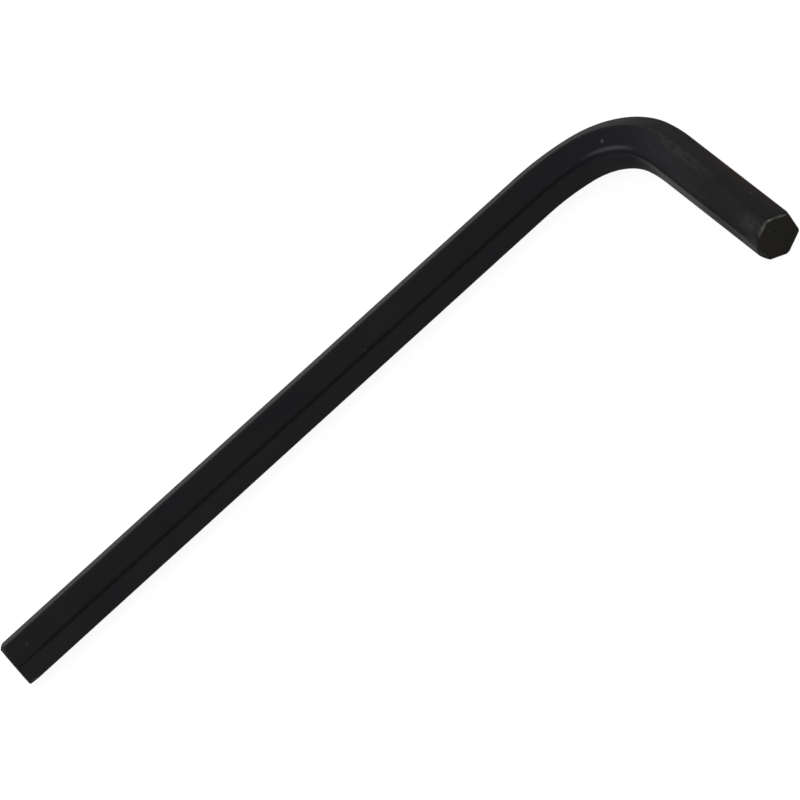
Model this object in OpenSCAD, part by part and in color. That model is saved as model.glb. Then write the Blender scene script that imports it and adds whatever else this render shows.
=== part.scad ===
// Hexagonal key, bent cold from one length of drawn alloy steel bar.
// It lies flat on the corner edges of its bar, with +Z up.
// The long arm runs along +X to the bend, and the short arm leaves the bend towards -Y.
// The origin is on the surface it lies on, under the middle of its box. Sizes are in millimetres.

/* [Bar] */
// Distance across two opposite flats of the bar
across_flats = 4; // [2:0.1:8]
// Radius that drawing leaves on the six long edges of the bar
edge_radius = 0.45; // [0.1:0.01:0.8]
// Slight angle at which each rounded edge runs into the flat beside it
edge_lean = 8; // [4:1:15]

/* [Arms] */
// Long arm, from the outer flat of the short arm to the farthest point of its end
long_arm = 72.3; // [45:0.1:200]
// Short arm, from the outer flat of the long arm to the farthest point of its end
short_arm = 27.7; // [20:0.1:80]

/* [Bend] */
// Radius of the bar's axis in the middle of the bend
bend_radius = 7.2; // [5:0.1:12]
// Radius of the easier curve that leads from the long arm into the bend
lead_radius = 18; // [8:0.5:30]
// Angle that the leading curve turns through
lead_angle = 16.8; // [5:0.1:35]
// Radius of the easier curve that leads from the bend into the short arm
tail_radius = 18; // [8:0.5:30]
// Angle that the trailing curve turns through
tail_angle = 8.8; // [2:0.1:25]

/* [Ends] */
// Angle by which the short arm was cut off square
short_cut_lean = 4.5; // [1:0.1:6]
// Depth of the bevel along the six sides of the short arm's end face
short_bevel = 0.12; // [0.08:0.01:0.2]
// Length of that bevel along the flats
short_bevel_length = 0.5; // [0.3:0.05:0.7]
// Angle by which the long arm was cut off square
long_cut_lean = 2.2; // [1:0.1:6]
// Length of the turned chamfer on the long arm's end, along a corner of the bar
long_chamfer = 0.4; // [0.3:0.01:0.6]
// Angle between the long arm's chamfer and its axis
long_chamfer_angle = 40; // [30:1:45]
// Distance by which that chamfer was turned off the axis, towards the roll-over
long_chamfer_offset = 0.1; // [0.02:0.01:0.15]
// Length of the roll-over where the shear blade entered the long arm's lower inner corner
roll_length = 1.2; // [0.6:0.1:2]
// Depth of the roll-over at the end face
roll_depth = 0.25; // [0.15:0.01:0.5]
// Slight angle at which the roll-over leaves the corner of the bar
roll_lean = 3; // [1:0.5:4]

/* [Hidden] */
$fn = 64;

// Distance from the bar's axis to the middle of a corner's rounding, and to the rounded corner itself
corner_centre = (across_flats / 2 - edge_radius * cos(edge_lean)) / cos(30);
corner_r = corner_centre + edge_radius;

// Angle of the tight curve between the two easier ones, which makes the arms square to each other
bend_angle = 90 - lead_angle - tail_angle;

// Where each arm becomes straight, measured from the point at which the two axes cross
long_tangent = lead_radius * sin(lead_angle)
             + bend_radius * (cos(tail_angle) - sin(lead_angle))
             + tail_radius * (1 - cos(tail_angle));
short_tangent = lead_radius * (1 - cos(lead_angle))
              + bend_radius * (cos(lead_angle) - sin(tail_angle))
              + tail_radius * sin(tail_angle);

// Straight stretches of the two arms
long_straight = long_arm - across_flats / 2 - long_tangent;
short_straight = short_arm - across_flats / 2 - short_tangent;

// Section angles towards which the two cuts rise, and the corner at which the shear blade entered
short_cut_turn = 115;
long_cut_turn = 180;
roll_corner = 210;

// Distance from the axis to a side of the short arm's end face, and the radius of the long arm's
short_face_side = across_flats / 2 - short_bevel;
long_face_r = corner_r - long_chamfer * tan(long_chamfer_angle);

// How far each cut rises from its middle to its farthest point
short_rise = sin(short_cut_lean) * short_face_side / cos(30) * cos(short_cut_turn - 90);
long_rise = sin(long_cut_lean) * (long_face_r + long_chamfer_offset * cos(roll_corner - long_cut_turn));

// Place of the crossing axes, so that the middle of the box comes over the origin
axes_crossing = [(long_arm - across_flats) / 2, (short_arm - across_flats) / 2, corner_r];

// The sharp tip beyond a corner's rounding, for a corner that points along +X
module corner_tip() {
    flat_side = edge_radius * cos(edge_lean) * cos(30);
    difference() {
        translate([corner_centre + flat_side, -across_flats / 2])
            square([across_flats, across_flats]);
        translate([corner_centre, 0])
            circle(r = edge_radius);
    }
}

// Section of the bar: a hexagon with rounded corners, two flats upright and two corners up and down
module bar_section() {
    difference() {
        rotate(30)
            circle(r = across_flats / 2 / cos(30), $fn = 6);
        for (corner = [30:60:330])
            rotate(corner)
                corner_tip();
    }
}

// Straight arm that starts at the bend and runs up its own +Z. It was cut a little off square, so that
// the cut rises towards the section angle turn. The children are what the cut leaves, below their z = 0.
module arm(length, lean, turn) {
    intersection() {
        linear_extrude(height = length + across_flats)
            bar_section();
        translate([0, 0, length])
            rotate([0, 0, turn])
                rotate([0, -lean, 0])
                    rotate([0, 0, -turn])
                        children();
    }
}

// What the shear rolled over: all that lies outside a curve, for a corner that points along +X and an
// end face at y = 0. The curve leaves the corner nearly straight and is roll_depth below it at the end.
module roll_over() {
    chord = norm([roll_length, roll_depth]);
    chord_lean = atan(roll_depth / roll_length);
    roll_radius = chord / 2 / sin(chord_lean - roll_lean);
    start = [corner_r, -roll_length];
    roll_centre = start - roll_radius * [cos(roll_lean), sin(roll_lean)];
    linear_extrude(height = 4 * corner_r, center = true)
        difference() {
            translate([corner_r - 2 * roll_depth, roll_centre.y])
                square([4 * roll_depth, roll_length - roll_centre.y]);
            translate(roll_centre)
                circle(r = roll_radius);
        }
}

// The long arm, with a chamfer turned on its end and the roll-over at one corner
module long_end() {
    length = long_straight - long_rise;
    reach = length + across_flats;
    difference() {
        arm(length, long_cut_lean, long_cut_turn)
            rotate([0, 0, roll_corner])
                translate([long_chamfer_offset, 0, -reach])
                    cylinder(h = reach, r1 = long_face_r + reach * tan(long_chamfer_angle), r2 = long_face_r);
        translate([0, 0, length])
            rotate([0, 0, roll_corner])
                rotate([90, 0, 0])
                    roll_over();
    }
}

// The short arm, with a bevel along each side of its end face, which keeps the bar's hexagon
module short_end() {
    length = short_straight - short_rise;
    reach = length + across_flats;
    widening = reach * short_bevel / short_bevel_length;
    arm(length, short_cut_lean, short_cut_turn)
        intersection_for (side = [0, 60, 120])
            rotate([0, 0, side])
                rotate([90, 0, 0])
                    linear_extrude(height = 2 * reach, center = true)
                        polygon([
                            [-short_face_side - widening, -reach],
                            [short_face_side + widening, -reach],
                            [short_face_side, 0],
                            [-short_face_side, 0]
                        ]);
}

// One curve of the bend about its own centre, turning clockwise from one heading to the next
module bend_curve(radius, from, to) {
    rotate_extrude(start = 90 - to, angle = to - from)
        translate([radius, 0])
            bar_section();
}

// Puts the next curve's centre in line with this one's at the heading where they meet, so that they are
// tangent. The shift is made in whole hundredths and then the rest, which keeps its full precision.
module next_centre(radius, next_radius, heading) {
    shift = (radius - next_radius) * [sin(heading), cos(heading), 0];
    coarse = [for (value = shift) round(100 * value) / 100];
    translate(coarse)
        translate(shift - coarse)
            children();
}

module hex_key() {
    color([0.13, 0.13, 0.14])
        translate(axes_crossing - [long_tangent, 0, 0]) {
            mirror([1, 0, 0])
                rotate([90, 0, 90])
                    long_end();
            translate([0, -lead_radius, 0]) {
                bend_curve(lead_radius, 0, lead_angle);
                next_centre(lead_radius, bend_radius, lead_angle) {
                    bend_curve(bend_radius, lead_angle, lead_angle + bend_angle);
                    next_centre(bend_radius, tail_radius, lead_angle + bend_angle) {
                        bend_curve(tail_radius, lead_angle + bend_angle, 90);
                        translate([tail_radius, 0, 0])
                            rotate([90, 0, 0])
                                short_end();
                    }
                }
            }
        }
}

hex_key();
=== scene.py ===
import math

import bmesh
import bpy
from mathutils import Euler, Matrix, Vector


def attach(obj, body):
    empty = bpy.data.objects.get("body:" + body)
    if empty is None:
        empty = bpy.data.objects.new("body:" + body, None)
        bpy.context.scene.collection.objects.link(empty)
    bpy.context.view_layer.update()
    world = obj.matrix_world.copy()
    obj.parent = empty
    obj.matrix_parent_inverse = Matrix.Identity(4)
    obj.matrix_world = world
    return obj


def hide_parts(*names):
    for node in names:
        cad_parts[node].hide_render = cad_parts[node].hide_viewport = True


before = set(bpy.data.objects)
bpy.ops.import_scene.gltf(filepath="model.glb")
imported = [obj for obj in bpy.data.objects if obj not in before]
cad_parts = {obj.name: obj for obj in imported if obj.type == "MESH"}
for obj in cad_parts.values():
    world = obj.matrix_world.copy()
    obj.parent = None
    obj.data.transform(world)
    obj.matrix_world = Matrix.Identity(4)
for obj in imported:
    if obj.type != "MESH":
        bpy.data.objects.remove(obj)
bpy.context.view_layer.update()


# The bar: drawn alloy steel, a 4 mm hexagon with its six long edges rounded by the drawing die.
# It is bent cold into an L, so the bend is one tight curve between two easier ones.
# It is drawn here in millimetres along its own path and made metres when it is finished.
MM = 0.001
ACROSS_FLATS, LONG_ARM, SHORT_ARM = 4.0, 72.3, 27.7
LEAD_R, LEAD_TURN = 18.0, math.radians(16.8)
BEND_R, BEND_TURN = 7.2, math.radians(64.4)
TAIL_R, TAIL_TURN = 18.0, math.radians(8.8)
# From the bar's axis to the top of a rounded edge, and how far the rounding reaches along each flat.
CORNER_R, EDGE_ROUND = 2.24484, 0.221
# How far each sheared end rises from its middle to its farthest point, to which the arm is measured.
LONG_RISE, SHORT_RISE = 0.0766, 0.1544
# Extra length at each end, which the end cuts take off.
SPARE = 2.0

crossing = Vector(((LONG_ARM - ACROSS_FLATS) / 2, (SHORT_ARM - ACROSS_FLATS) / 2, CORNER_R))
long_end_x = LONG_RISE - LONG_ARM / 2
short_end_y = SHORT_RISE - SHORT_ARM / 2

# Centres of the three curves. The long arm becomes straight long_tangent before the axes cross, which
# is rounded to a tenth of a micrometre.
tail_heading = LEAD_TURN + BEND_TURN
long_tangent = LEAD_R * math.sin(LEAD_TURN)
long_tangent += BEND_R * (math.cos(TAIL_TURN) - math.sin(LEAD_TURN))
long_tangent += TAIL_R * (1 - math.cos(TAIL_TURN))
lead_centre = Vector((crossing.x - round(long_tangent, 4), crossing.y - LEAD_R, CORNER_R))
bend_centre = lead_centre + (LEAD_R - BEND_R) * Vector((math.sin(LEAD_TURN), math.cos(LEAD_TURN), 0))
tail_centre = bend_centre + (BEND_R - TAIL_R) * Vector((math.sin(tail_heading), math.cos(tail_heading), 0))

bpy.ops.object.select_all(action="DESELECT")
bpy.ops.mesh.primitive_circle_add(
    vertices=6,
    radius=ACROSS_FLATS / 2 / math.cos(math.radians(30)),
    fill_type="NGON",
    location=(long_end_x - SPARE, crossing.y, CORNER_R),
    rotation=(math.radians(90), 0, math.radians(90)),
)
bar = bpy.context.object
bar.name = "hex_bar"
bpy.ops.object.transform_apply(location=True, rotation=True, scale=True)
bpy.ops.object.mode_set(mode="EDIT")
bpy.ops.mesh.select_all(action="SELECT")
bpy.ops.mesh.bevel(offset_type="OFFSET", offset=EDGE_ROUND, segments=6, profile=0.5, affect="VERTICES")
bpy.ops.mesh.select_mode(type="FACE")
bpy.ops.mesh.select_all(action="SELECT")
long_run = lead_centre.x - long_end_x + SPARE
bpy.ops.mesh.extrude_region_move(TRANSFORM_OT_translate={"value": (long_run, 0, 0)})
# Each curve is spun in steps of a little over 2 degrees.
for centre, turn, steps in (
    (lead_centre, LEAD_TURN, 8),
    (bend_centre, BEND_TURN, 28),
    (tail_centre, TAIL_TURN, 4),
):
    bpy.ops.mesh.spin(steps=steps, angle=turn, center=centre, axis=(0, 0, 1))
short_run = tail_centre.y - short_end_y + SPARE
bpy.ops.mesh.extrude_region_move(TRANSFORM_OT_translate={"value": (0, -short_run, 0)})
bpy.ops.object.mode_set(mode="OBJECT")


# The short arm's end: sheared 4.5 degrees off square and dressed by tumbling, which leaves a shallow
# bevel on its sides and corners. The inner side was pressed in where the shear blade entered, and the
# corner above it is worn round. Each cut is (section angle, distance from the axis at the face, length).
SHORT_LEAN, SHORT_TURN = math.radians(4.5), math.radians(115)
SHORT_RIM = (
    (0, 1.90, 0.50),
    (30, 2.12, 0.50),
    (60, 1.88, 0.42),
    (90, 2.08, 0.60),
    (120, 1.88, 0.65),
    (135, 2.03, 3.60),
    (150, 1.97, 5.00),
    (165, 2.03, 3.60),
    (188, 1.79, 1.55),
    (240, 1.95, 0.30),
    (270, 2.16, 0.40),
    (300, 1.95, 0.30),
    (330, 2.16, 0.40),
)
# A cut at an end touches no face whose middle lies nearer to the bend than this.
CLEAR_OF_BEND = 0.1
# On the axes of an end this points out along the arm, and section angles turn about it.
OUTWARD_ALONG_ARM = Vector((0, 0, 1))


def sideways(section_angle):
    """The direction square to the arm at a section angle."""
    return Vector((math.cos(section_angle), math.sin(section_angle), 0))


def leaned(direction, lean):
    """A direction square to the arm, leaned outward along the arm."""
    return math.cos(lean) * direction + math.sin(lean) * OUTWARD_ALONG_ARM


def shear_frame(origin, along, side, lean, turn):
    """Axes of a cut end: z along the arm, leaned so that the cut rises towards the section angle turn."""
    up = along.cross(side)
    axes = Matrix((side, up, along)).transposed().to_4x4()
    to_turn = Matrix.Rotation(turn, 4, "Z")
    leaned_axes = to_turn @ Matrix.Rotation(-lean, 4, "Y") @ to_turn.inverted()
    return Matrix.Translation(origin) @ axes @ leaned_axes


def cut(end, place, direction, on_arm):
    """Cuts off what lies beyond a plane, given on the axes of an end, and closes the bar there again."""
    bpy.ops.object.mode_set(mode="EDIT")
    bpy.ops.mesh.select_mode(type="FACE")
    bpy.ops.mesh.select_all(action="DESELECT")
    mesh = bmesh.from_edit_mesh(bar.data)
    for face in mesh.faces:
        face.select_set(on_arm(face.calc_center_median()))
    bmesh.update_edit_mesh(bar.data)
    bpy.ops.mesh.bisect(
        plane_co=end @ place,
        plane_no=end.to_3x3() @ direction,
        use_fill=True,
        clear_outer=True,
        threshold=1e-5,
    )
    bpy.ops.object.mode_set(mode="OBJECT")


def on_short_arm(point):
    """Whether a point lies past the bend, on the short arm."""
    return point.y < tail_centre.y - CLEAR_OF_BEND


short_axes = (Vector((crossing.x, short_end_y, CORNER_R)), Vector((0, -1, 0)), Vector((1, 0, 0)))
short_end = shear_frame(*short_axes, SHORT_LEAN, SHORT_TURN)
cut(short_end, Vector((0, 0, 0)), OUTWARD_ALONG_ARM, on_short_arm)
for degrees, distance, length in SHORT_RIM:
    direction = sideways(math.radians(degrees))
    full = ACROSS_FLATS / 2 if degrees % 60 == 0 else CORNER_R
    slope = math.atan2(full - distance, length)
    cut(short_end, distance * direction, leaned(direction, slope), on_short_arm)


# The long arm's end: sheared 2.2 degrees off square, a 40 degree chamfer turned on it a little off
# centre, and the lower inner corner rolled over where the shear blade entered. The turned chamfer and
# the curve of the roll-over are each made of flat cuts.
LONG_LEAN, LONG_TURN = math.radians(2.2), math.radians(180)
FACE_R, CHAMFER_OFFSET, CHAMFER_SLOPE = 1.909, 0.1, math.radians(40)
ROLL_CORNER, ROLL_LENGTH, ROLL_DEPTH, ROLL_LEAN = math.radians(150), 1.2, 0.25, math.radians(3)
CHAMFER_CUTS, ROLL_CUTS = 40, 5


def on_long_arm(point):
    """Whether a point lies before the bend, on the long arm."""
    return point.x < lead_centre.x - CLEAR_OF_BEND


long_axes = (Vector((long_end_x, crossing.y, CORNER_R)), Vector((-1, 0, 0)), Vector((0, 1, 0)))
long_end = shear_frame(*long_axes, LONG_LEAN, LONG_TURN)
cut(long_end, Vector((0, 0, 0)), OUTWARD_ALONG_ARM, on_long_arm)
roll_side = sideways(ROLL_CORNER)
for step in range(CHAMFER_CUTS):
    direction = sideways(math.radians(360 / CHAMFER_CUTS * step))
    rim_point = CHAMFER_OFFSET * roll_side + FACE_R * direction
    cut(long_end, rim_point, leaned(direction, CHAMFER_SLOPE), on_long_arm)

square_end = shear_frame(*long_axes, 0.0, 0.0)
chord_lean = math.atan2(ROLL_DEPTH, ROLL_LENGTH)
roll_radius = math.hypot(ROLL_LENGTH, ROLL_DEPTH) / 2 / math.sin(chord_lean - ROLL_LEAN)
roll_start = CORNER_R * roll_side - ROLL_LENGTH * OUTWARD_ALONG_ARM
roll_centre = roll_start - roll_radius * leaned(roll_side, ROLL_LEAN)
for step in range(ROLL_CUTS):
    lean = ROLL_LEAN + (step + 0.5) / ROLL_CUTS * 2 * (chord_lean - ROLL_LEAN)
    direction = leaned(roll_side, lean)
    cut(square_end, roll_centre + roll_radius * direction, direction, on_long_arm)


# Tumbling broke the sharp rim of both end faces to a fine rounded edge. Points that the cuts left closer
# together than SAME_POINT are joined first, and the end faces are found by their direction and area.
RIM_BREAK, SAME_POINT = 0.05, 0.002
SQUARE_ENOUGH, LEAST_END_AREA = 0.9999, 5.0
bpy.ops.object.mode_set(mode="EDIT")
bpy.ops.mesh.select_all(action="SELECT")
bpy.ops.mesh.remove_doubles(threshold=SAME_POINT)
bpy.ops.mesh.select_mode(type="EDGE")
bpy.ops.mesh.select_all(action="DESELECT")
mesh = bmesh.from_edit_mesh(bar.data)
for end in (short_end, long_end):
    outward = end.to_3x3() @ OUTWARD_ALONG_ARM
    for face in mesh.faces:
        if face.normal.dot(outward) > SQUARE_ENOUGH and face.calc_area() > LEAST_END_AREA:
            for edge in face.edges:
                edge.select_set(True)
bmesh.update_edit_mesh(bar.data)
bpy.ops.mesh.bevel(
    offset_type="OFFSET", offset=RIM_BREAK, segments=3, profile=0.5, affect="EDGES", clamp_overlap=True
)
bpy.ops.object.mode_set(mode="OBJECT")

# The coat follows the bar as it was before bending, so each point keeps its place on the straightened
# bar: how far it lies past the start of the bend, then towards the outer side, then up.
lead_length = LEAD_R * LEAD_TURN
bend_length = BEND_R * BEND_TURN
tail_length = TAIL_R * TAIL_TURN


def straightened(point):
    """Where a point of the bent bar lay before bending, in millimetres."""
    about_lead = point - lead_centre
    about_bend = point - bend_centre
    about_tail = point - tail_centre
    lead_angle = math.atan2(about_lead.x, about_lead.y)
    bend_angle = math.atan2(about_bend.x, about_bend.y)
    tail_angle = math.atan2(about_tail.x, about_tail.y)
    if lead_angle <= 0:
        return Vector((about_lead.x, point.y - crossing.y, point.z))
    if lead_angle <= LEAD_TURN:
        return Vector((LEAD_R * lead_angle, about_lead.xy.length - LEAD_R, point.z))
    if bend_angle <= tail_heading:
        run = lead_length + BEND_R * (bend_angle - LEAD_TURN)
        return Vector((run, about_bend.xy.length - BEND_R, point.z))
    if tail_angle <= math.radians(90):
        run = lead_length + bend_length + TAIL_R * (tail_angle - tail_heading)
        return Vector((run, about_tail.xy.length - TAIL_R, point.z))
    run = lead_length + bend_length + tail_length + tail_centre.y - point.y
    return Vector((run, point.x - crossing.x, point.z))


straight_bar = bar.data.attributes.new("straight_bar", "FLOAT_VECTOR", "POINT")
for vertex in bar.data.vertices:
    straight_bar.data[vertex.index].vector = straightened(vertex.co)

# How far each face leans towards its end, from 0 on the drawn sides to 1 on the end face.
cut_face = bar.data.attributes.new("cut_face", "FLOAT", "FACE")
for face in bar.data.polygons:
    for end, on_arm in ((short_end, on_short_arm), (long_end, on_long_arm)):
        if on_arm(face.center):
            outward = end.to_3x3() @ OUTWARD_ALONG_ARM
            cut_face.data[face.index].value = max(0.0, face.normal.dot(outward))

bar.scale = (MM, MM, MM)
bpy.ops.object.transform_apply(location=False, rotation=False, scale=True)
bpy.ops.object.shade_smooth_by_angle(angle=math.radians(30))
normals = bar.modifiers.new("weighted", "WEIGHTED_NORMAL")
normals.keep_sharp = True
bpy.ops.object.modifier_apply(modifier=normals.name)
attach(bar, "root")
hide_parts("hex_key")


def linear(code):
    """An sRGB hex colour as the linear values that Blender's colour sockets take."""
    parts = [int(code[i : i + 2], 16) / 255 for i in (1, 3, 5)]
    return [p / 12.92 if p <= 0.04045 else ((p + 0.055) / 1.055) ** 2.4 for p in parts] + [1.0]


def add_node(tree, kind, settings, sockets):
    """Adds one node: its settings, and for each socket a value or the output that feeds it."""
    new = tree.nodes.new(kind)
    for name, value in settings.items():
        setattr(new, name, value)
    for socket, value in sockets.items():
        if isinstance(value, bpy.types.NodeSocket):
            tree.links.new(value, new.inputs[socket])
        else:
            new.inputs[socket].default_value = value
    return new


# Black oxide on drawn and tumbled steel: a thin satin conversion coat that is a little oily. It looks
# near black, a shade bluer or browner from place to place, and turns grey only at a grazing angle.
# Sizes and places are millimetres on the straightened bar, so the patterns follow the bend.
oxide = bpy.data.materials.new("black_oxide_steel")
oxide.use_nodes = True
tree = oxide.node_tree
shader = tree.nodes["Principled BSDF"]
place = add_node(tree, "ShaderNodeAttribute", {"attribute_name": "straight_bar"}, {}).outputs["Vector"]
end_lean = add_node(tree, "ShaderNodeAttribute", {"attribute_name": "cut_face"}, {}).outputs["Fac"]
# The end faces alone, and the end faces with the bevels and rims that tumbling dressed.
end_range = {"Value": end_lean, "From Min": 0.985, "From Max": 0.995}
end_face = add_node(tree, "ShaderNodeMapRange", {}, end_range).outputs[0]
dressed_range = {"Value": end_lean, "From Min": 0.15, "From Max": 0.28}
dressed = add_node(tree, "ShaderNodeMapRange", {}, dressed_range).outputs[0]


def patch(middle, half_lengths, amount):
    """A soft ellipsoid on the straightened bar: amount in its middle and nothing beyond its half lengths."""
    off = add_node(tree, "ShaderNodeVectorMath", {"operation": "SUBTRACT"}, {0: place, 1: middle}).outputs[0]
    scaled = add_node(tree, "ShaderNodeVectorMath", {"operation": "DIVIDE"}, {0: off, 1: half_lengths})
    far = add_node(tree, "ShaderNodeVectorMath", {"operation": "LENGTH"}, {0: scaled.outputs["Vector"]})
    return add_node(
        tree,
        "ShaderNodeMapRange",
        {"interpolation_type": "SMOOTHSTEP"},
        {"Value": far.outputs["Value"], "From Min": 1.0, "From Max": 0.2, "To Min": 0.0, "To Max": amount},
    ).outputs["Result"]


def largest(values):
    """The largest of several outputs."""
    most = values[0]
    for value in values[1:]:
        most = add_node(tree, "ShaderNodeMath", {"operation": "MAXIMUM"}, {0: most, 1: value}).outputs[0]
    return most


# Tint: patches about 6 mm across, bluer at the bend, and browner at the long end and along the short arm's
# outer side. The long arm's upper outer flat is painted paler, a painted sheen where it catches the light.
TINT_PATCH = 6.25
cloud = add_node(tree, "ShaderNodeTexNoise", {}, {"Vector": place, "Scale": 1 / TINT_PATCH, "Detail": 2.0})
tone_range = {"Value": cloud.outputs["Fac"], "From Min": 0.35, "From Max": 0.65}
tone = add_node(tree, "ShaderNodeMapRange", {}, tone_range).outputs["Result"]
two_tones = {"Factor": tone, "A": linear("#1B1B1E"), "B": linear("#1E1E1D")}
tint = add_node(tree, "ShaderNodeMix", {"data_type": "RGBA"}, two_tones).outputs["Result"]

# The sheared end faces are mottled about 1 mm across, from olive to brown.
MOTTLE = 1.111
mottle = add_node(tree, "ShaderNodeTexNoise", {}, {"Vector": place, "Scale": 1 / MOTTLE, "Detail": 2.0})
mottle_range = {"Value": mottle.outputs["Fac"], "From Min": 0.35, "From Max": 0.65}
mottled = add_node(tree, "ShaderNodeMapRange", {}, mottle_range).outputs["Result"]
two_browns = {"Factor": mottled, "A": linear("#20231D"), "B": linear("#28231E")}
sheared = add_node(tree, "ShaderNodeMix", {"data_type": "RGBA"}, two_browns).outputs["Result"]

# The two inner edges are painted darker: painted shade in the upper crease, where the rounded edge faces the
# dim side of the room, and a painted contact shadow along the lower edge. It is left off the upper edge
# where the bend is tightest, under the painted highlight there, and at the long end.
INNER_SIDE, UPPER, LOWER = -1.94, 3.37, 1.12
WHOLE_BAR, EDGE_BAND, EDGE_DARKENING = 500.0, 0.30, 0.55
upper_edge = patch((0.0, INNER_SIDE, UPPER), (WHOLE_BAR, EDGE_BAND, EDGE_BAND), EDGE_DARKENING)
lower_edge = patch((0.0, INNER_SIDE, LOWER), (WHOLE_BAR, EDGE_BAND, EDGE_BAND), EDGE_DARKENING)
shade_left_off = largest(
    [
        patch((9.6, INNER_SIDE, UPPER), (5.0, 1.2, 1.2), 0.55),
        patch((-60.0, INNER_SIDE, 2.24), (5.0, 1.2, 2.5), 0.45),
    ]
)
edges = add_node(
    tree,
    "ShaderNodeMath",
    {"operation": "SUBTRACT", "use_clamp": True},
    {0: largest([upper_edge, lower_edge]), 1: shade_left_off},
).outputs[0]
# The inner flat is dull in the bend and again near the short end, so the white floor shows less in it, and
# it is painted darker there as painted shade.
dull_and_shade = largest(
    [
        patch((12.8, -2.1, 2.2), (5.6, 0.6, 1.8), 0.65),
        patch((27.0, -2.1, 2.2), (6.5, 0.6, 1.8), 0.75),
    ]
)
# Each colour is laid over the ones before it: (where and how much, colour there).
for share, colour_there in (
    # Painted sheen: the long arm's upper outer flat, painted paler.
    (patch((-26.0, 1.15, 3.9), (60.0, 1.3, 0.9), 1.0), linear("#29292B")),
    (patch((-60.6, 0.0, 2.2), (2.6, 3.0, 3.0), 0.8), linear("#271F1C")),
    (patch((11.0, -1.0, 3.6), (15.0, 2.6, 2.6), 1.0), linear("#1E1D24")),
    (patch((25.0, 2.0, 3.0), (13.0, 1.4, 2.4), 1.0), linear("#292220")),
    # Painted shade on the dull inner flat.
    (dull_and_shade, linear("#111113")),
    (end_face, sheared),
    # Painted shade along the two inner edges: a dark crease line above and a contact shadow below.
    (edges, linear("#050506")),
):
    over = {"Factor": share, "A": tint, "B": colour_there}
    tint = add_node(tree, "ShaderNodeMix", {"data_type": "RGBA"}, over).outputs["Result"]

# Drawing lines: 0.25 mm apart, which is coarser than the die's, so that they show, and 20 mm long.
LINE_SPACING, LINE_LENGTH = 0.25, 20.0
line_stretch = {"Vector": place, "Scale": (LINE_SPACING / LINE_LENGTH, 1.0, 1.0)}
stretch = add_node(tree, "ShaderNodeMapping", {}, line_stretch)
line_size = {"Vector": stretch.outputs["Vector"], "Scale": 1 / LINE_SPACING, "Detail": 3.0}
lines = add_node(tree, "ShaderNodeTexNoise", {}, line_size)

# Grain of the tumbled surface: about 0.15 mm, coarser than the real grit so that it shows.
GRAIN = 0.1538
grain_size = {"Vector": place, "Scale": 1 / GRAIN, "Detail": 4.0, "Roughness": 0.7}
grain = add_node(tree, "ShaderNodeTexNoise", {}, grain_size)

# Pale bare steel painted through the coat, partly rubbed steel and partly painted highlight, such as the
# streak along the ridge after the bend and the bright rims of the short end: (middle, half lengths, how
# much).
RUBBED_AND_HIGHLIGHTS = (
    ((18.0, 0.12, 4.39), (8.0, 0.70, 0.42), 0.038),
    ((26.5, -0.05, 4.44), (8.0, 0.45, 0.30), 0.007),
    ((17.0, -0.60, 4.10), (7.0, 2.20, 0.90), 0.010),
    ((21.0, -1.55, 3.62), (4.5, 0.60, 0.50), 0.012),
    ((30.8, -1.00, 4.00), (2.6, 1.10, 0.80), 0.030),
    ((32.40, -0.62, 4.07), (0.38, 1.15, 0.85), 0.150),
    ((32.45, 1.10, 3.85), (0.32, 1.40, 0.90), 0.380),
    ((32.52, 0.30, 4.33), (0.28, 0.60, 0.40), 0.500),
    ((-59.7, 0.30, 4.00), (0.5, 1.60, 0.80), 0.030),
)
# A painted highlight: pale bare steel laid along the upper inner edge where the bend is tightest.
BEND_HIGHLIGHT = ((9.1, -1.60, 3.58), (4.3, 0.27, 0.27), 0.100)
# Chips: small bright knocks from other tools, as (middle, size, how much).
CHIPS = (
    ((32.46, -0.38, 3.41), 0.19, 0.045),
    ((27.75, 1.21, 3.86), 0.18, 0.080),
    ((8.33, -0.95, 4.01), 0.23, 0.140),
    ((6.36, -0.01, 4.49), 0.15, 0.050),
    ((-57.83, -1.03, 3.96), 0.20, 0.050),
    ((-19.74, -1.77, 3.53), 0.15, 0.040),
)
rubbed_and_highlights = largest([patch(*place_and_size) for place_and_size in RUBBED_AND_HIGHLIGHTS])
chipped = largest([patch(middle, (size, size, size), amount) for middle, size, amount in CHIPS])

# The rubbing and painted highlights are broken up into scuffs about 0.3 mm wide and twice as long. The end
# faces have none.
SCUFF_WIDTH, SCUFF_LENGTH = 1 / 3, 2 / 3
scuff_stretch = {"Vector": place, "Scale": (SCUFF_WIDTH / SCUFF_LENGTH, 1.0, 1.0)}
scuff_place = add_node(tree, "ShaderNodeMapping", {}, scuff_stretch)
scuff_size = {"Vector": scuff_place.outputs["Vector"], "Scale": 1 / SCUFF_WIDTH, "Detail": 4.0}
scuffs = add_node(tree, "ShaderNodeTexNoise", {}, scuff_size)
scuff_depth = add_node(
    tree,
    "ShaderNodeMapRange",
    {},
    {"Value": scuffs.outputs["Fac"], "From Min": 0.35, "From Max": 0.65, "To Min": 0.35, "To Max": 1.4},
)
scuff_depth = scuff_depth.outputs["Result"]
scuffed_and_highlights = add_node(tree, "ShaderNodeMath", {"operation": "MULTIPLY"}, {0: rubbed_and_highlights, 1: scuff_depth}).outputs[0]
on_sides = add_node(tree, "ShaderNodeMath", {"operation": "SUBTRACT"}, {0: 1.0, 1: end_face}).outputs[0]
scuffed_and_highlights = add_node(tree, "ShaderNodeMath", {"operation": "MULTIPLY"}, {0: scuffed_and_highlights, 1: on_sides}).outputs[0]
bare_and_highlights = largest([scuffed_and_highlights, chipped, patch(*BEND_HIGHLIGHT)])

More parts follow.
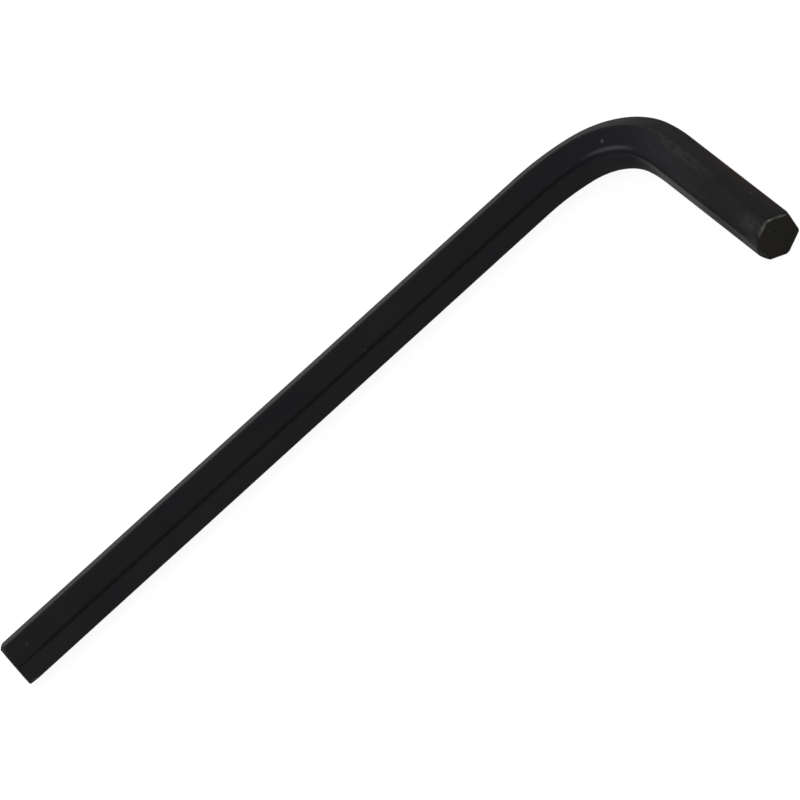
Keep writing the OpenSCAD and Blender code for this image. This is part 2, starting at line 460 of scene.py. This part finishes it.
# Bare steel shows as a warm pale grey metal where the coat is rubbed or chipped. The same pale metal makes
# the painted highlights at the bend's inner edge, along the ridge and on the short end's rims.
metal = add_node(tree, "ShaderNodeMapRange", {}, {"Value": bare_and_highlights, "From Min": 0.03, "From Max": 0.2})
bare_over_tint = {"Factor": bare_and_highlights, "A": tint, "B": linear("#BCBAB4")}
colour = add_node(tree, "ShaderNodeMix", {"data_type": "RGBA"}, bare_over_tint)

# The coat is satin and its roughness varies with the grain. The dressed ends are rougher, and the dull
# places have next to no sheen. Lines and grain stand out by less than a hundredth of a millimetre.
SMOOTHEST, ROUGHEST, DRESSED_ROUGHNESS = 0.5, 0.68, 0.85
SHEEN = 0.08
RELIEF_HEIGHT = 0.01 * MM
roughness = add_node(
    tree,
    "ShaderNodeMapRange",
    {},
    {
        "Value": grain.outputs["Fac"],
        "From Min": 0.3,
        "From Max": 0.7,
        "To Min": SMOOTHEST,
        "To Max": ROUGHEST,
    },
)
rough_ends = {"Factor": dressed, "A": roughness.outputs["Result"], "B": DRESSED_ROUGHNESS}
roughness = add_node(tree, "ShaderNodeMix", {"data_type": "FLOAT"}, rough_ends)
sheen = add_node(tree, "ShaderNodeMapRange", {}, {"Value": dull_and_shade, "To Min": SHEEN, "To Max": 0.0})
lines_on_grain = {0: lines.outputs["Fac"], 1: 0.5, 2: grain.outputs["Fac"]}
relief = add_node(tree, "ShaderNodeMath", {"operation": "MULTIPLY_ADD"}, lines_on_grain)
raised = {"Height": relief.outputs["Value"], "Strength": 0.35, "Distance": RELIEF_HEIGHT}
bump = add_node(tree, "ShaderNodeBump", {}, raised)
tree.links.new(colour.outputs["Result"], shader.inputs["Base Color"])
tree.links.new(metal.outputs["Result"], shader.inputs["Metallic"])
tree.links.new(roughness.outputs["Result"], shader.inputs["Roughness"])
tree.links.new(bump.outputs["Normal"], shader.inputs["Normal"])
tree.links.new(sheen.outputs["Result"], shader.inputs["Specular IOR Level"])
bar.data.materials.append(oxide)


# Photographer's white sweep. The key lies on it in open, even light. For the camera and in reflections
# it is white with a faint contact shadow, and its plain paper lights the key from below.
SWEEP_SIZE = 6.0
bpy.ops.object.select_all(action="DESELECT")
bpy.ops.mesh.primitive_plane_add(size=SWEEP_SIZE, location=(0.0, 0.0, 0.0))
floor = bpy.context.object
floor.name = "floor"
paper = bpy.data.materials.new("white_paper_sweep")
paper.use_nodes = True
tree = paper.node_tree
sheet = tree.nodes["Principled BSDF"]
sheet.inputs["Base Color"].default_value = linear("#F0F0F0")
sheet.inputs["Roughness"].default_value = 0.6
light_path = add_node(tree, "ShaderNodeLightPath", {}, {}).outputs
seen = light_path["Is Camera Ray"]
for ray in ("Is Glossy Ray", "Is Transmission Ray"):
    either_ray = {0: seen, 1: light_path[ray]}
    seen = add_node(tree, "ShaderNodeMath", {"operation": "MAXIMUM"}, either_ray).outputs[0]
pale = add_node(tree, "ShaderNodeBsdfDiffuse", {}, {"Color": linear("#6E6E6E")})
glow = add_node(tree, "ShaderNodeEmission", {}, {"Color": linear("#FFFFFF"), "Strength": 0.93})
white = add_node(tree, "ShaderNodeAddShader", {}, {0: pale.outputs["BSDF"], 1: glow.outputs["Emission"]})
by_ray = {0: seen, 1: sheet.outputs["BSDF"], 2: white.outputs["Shader"]}
both = add_node(tree, "ShaderNodeMixShader", {}, by_ray)
tree.links.new(both.outputs["Shader"], tree.nodes["Material Output"].inputs["Surface"])
floor.data.materials.append(paper)


# Studio light: a white room all round, dimmer where the photographer stands and behind the bend, and
# brighter beyond the long arm. That draws the dark line along the inner corner and the pale outer flat.
# Each side is (direction, change of light), full within SIDE_CORE of it and gone at SIDE_EDGE.
ROOM_LIGHT = 0.78
SIDE_CORE, SIDE_EDGE = math.radians(12), math.radians(42)
SIDES = (
    ((0.10, -0.94, 0.34), -0.55),
    ((0.61, 0.76, 0.23), -0.50),
    ((-0.48, 0.74, 0.47), 0.33),
)
scene = bpy.context.scene
world = bpy.data.worlds.new("studio")
scene.world = world
world.use_nodes = True
tree = world.node_tree
direction = add_node(tree, "ShaderNodeTexCoord", {}, {}).outputs["Generated"]
strength = ROOM_LIGHT
for towards, change in SIDES:
    cosine = add_node(tree, "ShaderNodeVectorMath", {"operation": "DOT_PRODUCT"}, {0: direction, 1: towards})
    lobe = add_node(
        tree,
        "ShaderNodeMapRange",
        {"interpolation_type": "SMOOTHSTEP"},
        {
            "Value": cosine.outputs["Value"],
            "From Min": math.cos(SIDE_EDGE),
            "From Max": math.cos(SIDE_CORE),
            "To Min": 0.0,
            "To Max": change,
        },
    )
    both_parts = {0: strength, 1: lobe.outputs["Result"]}
    strength = add_node(tree, "ShaderNodeMath", {"operation": "ADD"}, both_parts).outputs[0]
tree.links.new(strength, tree.nodes["Background"].inputs["Strength"])
tree.nodes["Background"].inputs["Color"].default_value = linear("#FFFFFF")


# Camera at the photograph's angle: a long lens about 0.73 m away. Its place in metres and its angles
# about x, y and z in degrees come from fitting the drawn outline of the bar to the photograph.
CAMERA_PLACE = (-0.07240, -0.55184, 0.47074)
CAMERA_ANGLES = (43.5798, 27.7154, -33.7638)
camera = bpy.data.cameras.new("camera")
camera.sensor_width = 36.0
camera.lens = 388.58
camera.clip_start = 0.05
camera.clip_end = 20.0
viewer = bpy.data.objects.new("camera", camera)
scene.collection.objects.link(viewer)
facing = Euler([math.radians(angle) for angle in CAMERA_ANGLES], "XYZ")
viewer.matrix_world = Matrix.LocRotScale(Vector(CAMERA_PLACE), facing, None)
scene.camera = viewer
scene.view_settings.view_transform = "Standard"
